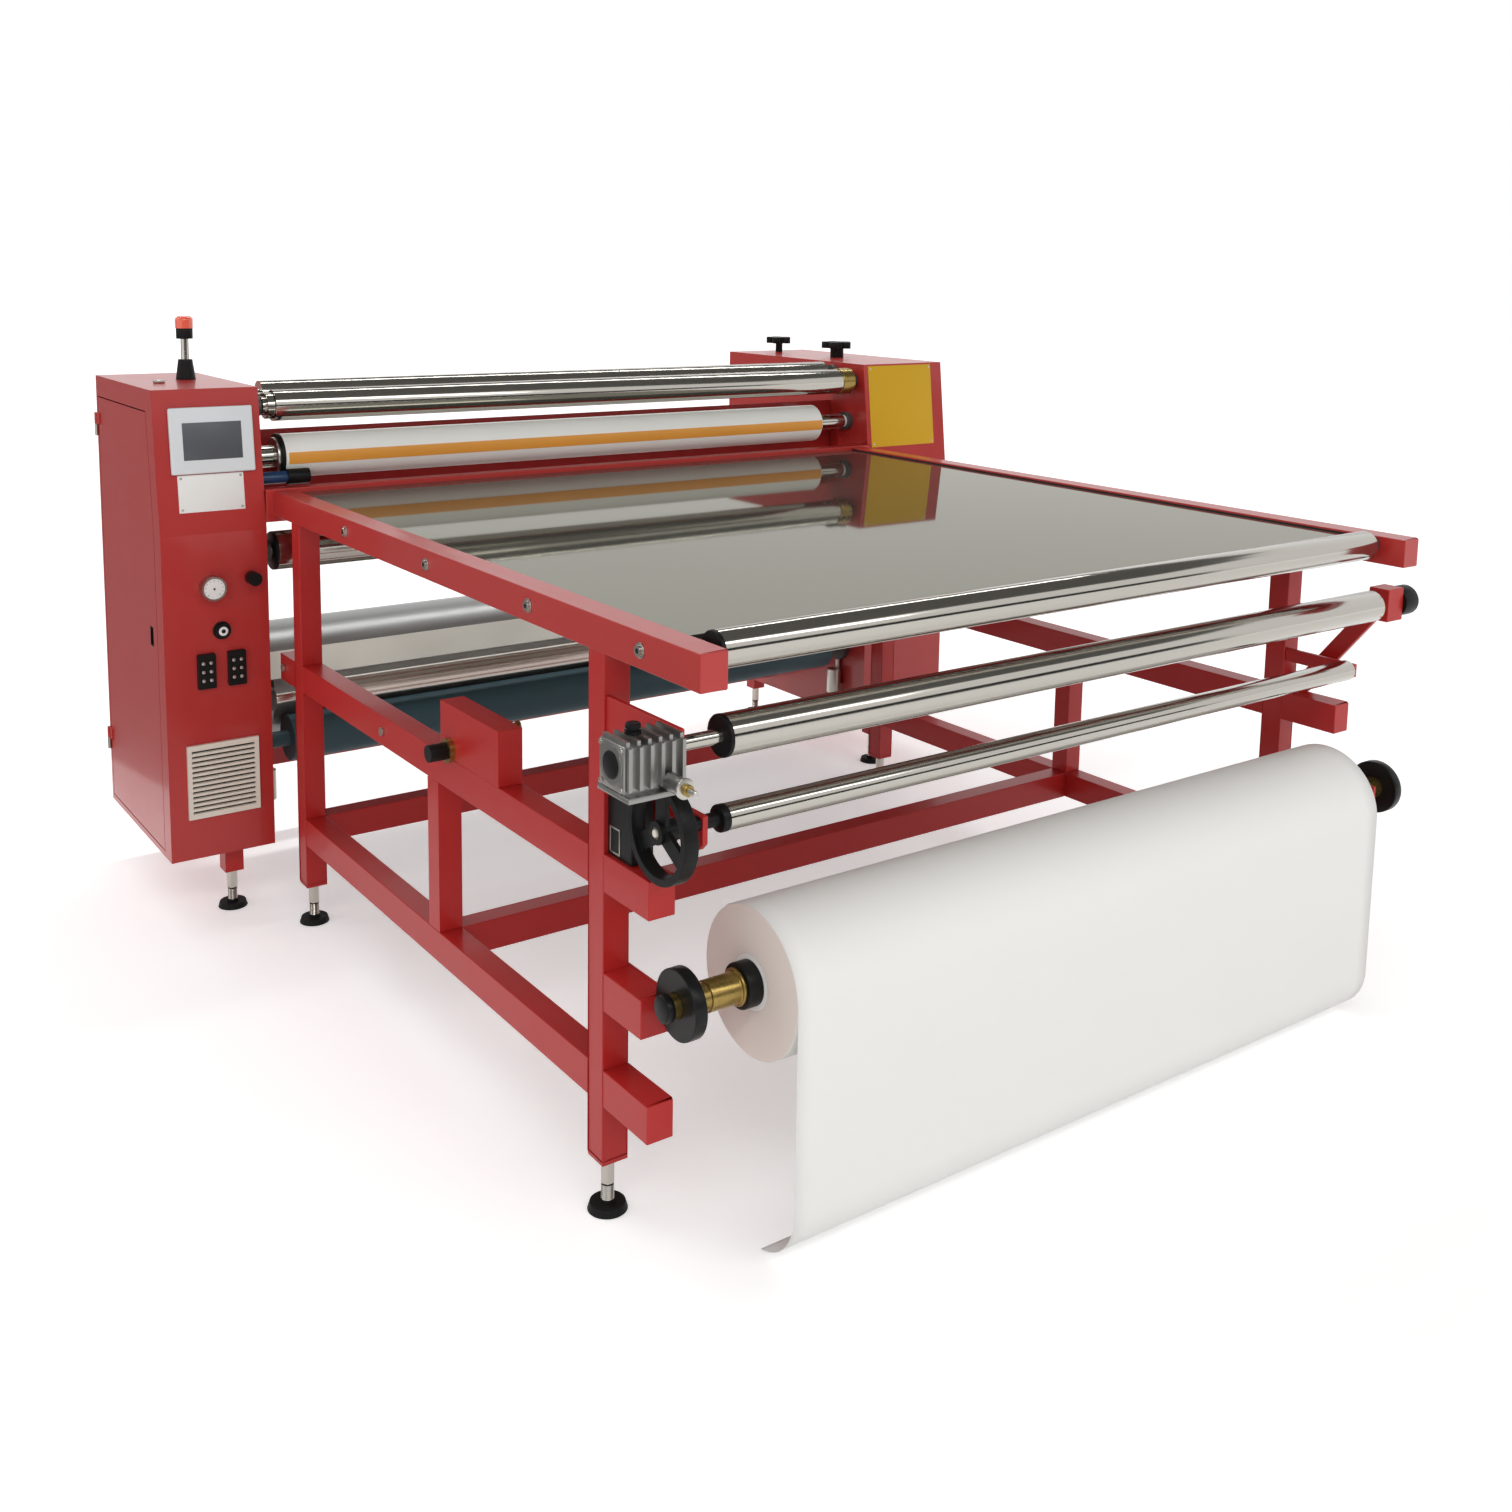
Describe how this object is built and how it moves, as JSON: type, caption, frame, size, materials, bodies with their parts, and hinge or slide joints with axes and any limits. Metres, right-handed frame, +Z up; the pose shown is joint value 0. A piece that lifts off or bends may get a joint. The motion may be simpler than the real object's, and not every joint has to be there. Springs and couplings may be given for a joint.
{
  "type": "roller heat press",
  "caption": "Roll-to-roll roller heat press: red side cabinets with chrome rollers and a heated drum, a long feed table in front and a paper roll on an unwind shaft.",
  "frame": {"origin": "middle of the overall extents, on the floor", "axes": "+X along the rollers towards the right cabinet, +Y from the feed table to the press, +Z up"},
  "size_m": [2.468, 2.6262, 1.448],
  "materials": {
    "red_paint": "gloss",
    "chrome": "polished",
    "zinc": "satin",
    "plate_steel": "polished",
    "drum_steel": "satin",
    "bearing_iron": "satin",
    "gear_aluminium": "matte",
    "black_plastic": "satin",
    "black_paint": "satin",
    "pale_rubber": "matte",
    "teal_rubber": "matte",
    "pad_rubber": "matte",
    "brass": "satin",
    "paper": "matte",
    "core_board": "matte",
    "bezel_plastic": "satin",
    "cream_plastic": "satin",
    "blue_plastic": "gloss",
    "lamp_plastic": "gloss",
    "apron_steel": "satin",
    "grey_plastic": "satin"
  },
  "bodies": {
    "machine": {"air_coupling": "blue_plastic", "air_coupling_cap": "black_plastic", "apron_plate": "apron_steel", "beacon_lamp": "lamp_plastic", "beacon_mount": "black_plastic", "cabinet_stub_legs": "red_paint", "clamp_block": "red_paint", "clamp_collars": "brass", "control_panel": "grey_plastic", "cross_beams": "red_paint", "cross_ties": "red_paint", "door_hinge_pins": "zinc", "drum_gear_unit": "black_paint", "feed_gearbox": "gear_aluminium", "feed_motor": "black_paint", "foot_pads": "pad_rubber", "foot_stems": "chrome", "left_cabinet": "red_paint", "paper_web": "paper", "pressure_cylinders": "zinc", "pressure_gauge": "chrome", "rail_bolts": "zinc", "right_cabinet": "red_paint", "roll_arms": "red_paint", "roller_bearings": "bearing_iron", "roller_brackets": "red_paint", "screen_bezel": "bezel_plastic", "side_plates": "red_paint", "side_rails": "red_paint", "socket_blocks": "black_plastic", "table_legs": "red_paint", "table_plate": "plate_steel", "top_rails": "red_paint", "vent_grille": "cream_plastic"},
    "door": {"cabinet_door": "red_paint", "door_latch": "black_plastic"},
    "drum": {"heated_drum": "drum_steel", "drum_heaters": "drum_steel"},
    "rubber_roller_body": {"rubber_roller": "teal_rubber"},
    "guide_roller_body": {"guide_roller": "chrome"},
    "under_roller_body": {"under_roller": "chrome"},
    "top_roller_front_body": {"top_roller_front": "chrome"},
    "top_roller_rear_body": {"top_roller_rear": "chrome"},
    "air_shaft_body": {"air_shaft": "pale_rubber"},
    "table_roller_body": {"table_roller": "chrome"},
    "feed_roller_body": {"feed_roller": "chrome"},
    "tension_roller_body": {"tension_roller": "chrome", "handwheel": "black_plastic"},
    "paper_roll_body": {"paper_roll": "paper", "roll_core": "core_board", "roll_shaft": "chrome", "shaft_chucks": "black_paint", "shaft_collars": "brass", "shaft_discs": "black_paint"},
    "pressure_knob_front_body": {"pressure_knob_front": "black_plastic"},
    "pressure_knob_rear_body": {"pressure_knob_rear": "black_plastic"},
    "regulator_knob_body": {"regulator_knob": "black_plastic"},
    "push_button_body": {"push_button": "black_plastic"},
    "clamp_knob_body": {"clamp_knob": "black_plastic"},
    "arm_knob_body": {"arm_knob": "black_plastic"}
  },
  "joints": [
    {"name": "drum_spin", "type": "hinge", "parent": "machine", "child": "drum", "pos_m": [0, 0.8631, 0.49], "axis": [1, 0, 0], "continuous": true},
    {"name": "rubber_roller_spin", "type": "hinge", "parent": "machine", "child": "rubber_roller_body", "pos_m": [0, 0.6731, 0.385], "axis": [1, 0, 0], "continuous": true},
    {"name": "guide_roller_spin", "type": "hinge", "parent": "machine", "child": "guide_roller_body", "pos_m": [0, 0.5931, 0.515], "axis": [1, 0, 0], "continuous": true},
    {"name": "under_roller_spin", "type": "hinge", "parent": "machine", "child": "under_roller_body", "pos_m": [0, 0.6031, 0.886], "axis": [1, 0, 0], "continuous": true},
    {"name": "top_roller_front_spin", "type": "hinge", "parent": "machine", "child": "top_roller_front_body", "pos_m": [0, 0.6431, 1.238], "axis": [1, 0, 0], "continuous": true},
    {"name": "top_roller_rear_spin", "type": "hinge", "parent": "machine", "child": "top_roller_rear_body", "pos_m": [0, 0.7381, 1.258], "axis": [1, 0, 0], "continuous": true},
    {"name": "air_shaft_spin", "type": "hinge", "parent": "machine", "child": "air_shaft_body", "pos_m": [0, 0.6651, 1.11], "axis": [1, 0, 0], "continuous": true},
    {"name": "table_roller_spin", "type": "hinge", "parent": "machine", "child": "table_roller_body", "pos_m": [0, -1.2059, 1.02], "axis": [1, 0, 0], "continuous": true},
    {"name": "feed_roller_spin", "type": "hinge", "parent": "machine", "child": "feed_roller_body", "pos_m": [0, -1.1999, 0.88], "axis": [1, 0, 0], "continuous": true},
    {"name": "tension_roller_spin", "type": "hinge", "parent": "machine", "child": "tension_roller_body", "pos_m": [0, -1.1669, 0.732], "axis": [1, 0, 0], "continuous": true},
    {"name": "paper_roll_spin", "type": "hinge", "parent": "machine", "child": "paper_roll_body", "pos_m": [0, -1.1849, 0.45], "axis": [1, 0, 0], "continuous": true},
    {"name": "clamp_knob_turn", "type": "hinge", "parent": "machine", "child": "clamp_knob_body", "pos_m": [-0.956, -0.4239, 0.662], "axis": [1, 0, 0], "continuous": true},
    {"name": "arm_knob_turn", "type": "hinge", "parent": "machine", "child": "arm_knob_body", "pos_m": [0.964, -1.1999, 0.88], "axis": [1, 0, 0], "continuous": true},
    {"name": "pressure_knob_front_turn", "type": "hinge", "parent": "machine", "child": "pressure_knob_front_body", "pos_m": [1.074, 0.9231, 1.29], "axis": [0, 0, 1], "continuous": true},
    {"name": "pressure_knob_rear_turn", "type": "hinge", "parent": "machine", "child": "pressure_knob_rear_body", "pos_m": [1.074, 1.2431, 1.29], "axis": [0, 0, 1], "continuous": true},
    {"name": "regulator_knob_turn", "type": "hinge", "parent": "machine", "child": "regulator_knob_body", "pos_m": [-1.017, 0.5531, 0.836], "axis": [0, 1, 0], "range_deg": [-150, 150]},
    {"name": "push_button_press", "type": "slide", "parent": "machine", "child": "push_button_body", "axis": [0, 1, 0], "range_m": [0, 0.005], "stiffness_N_per_m": 400},
    {"name": "cabinet_door_swing", "type": "hinge", "parent": "machine", "child": "door", "pos_m": [-1.23, 1.0981, 0.7], "axis": [0, 0, -1], "range_deg": [0, 110]}
  ],
  "couplings": [
    {"joint": "rubber_roller_spin", "follows": "drum_spin", "ratio": -2.6897}
  ]
}
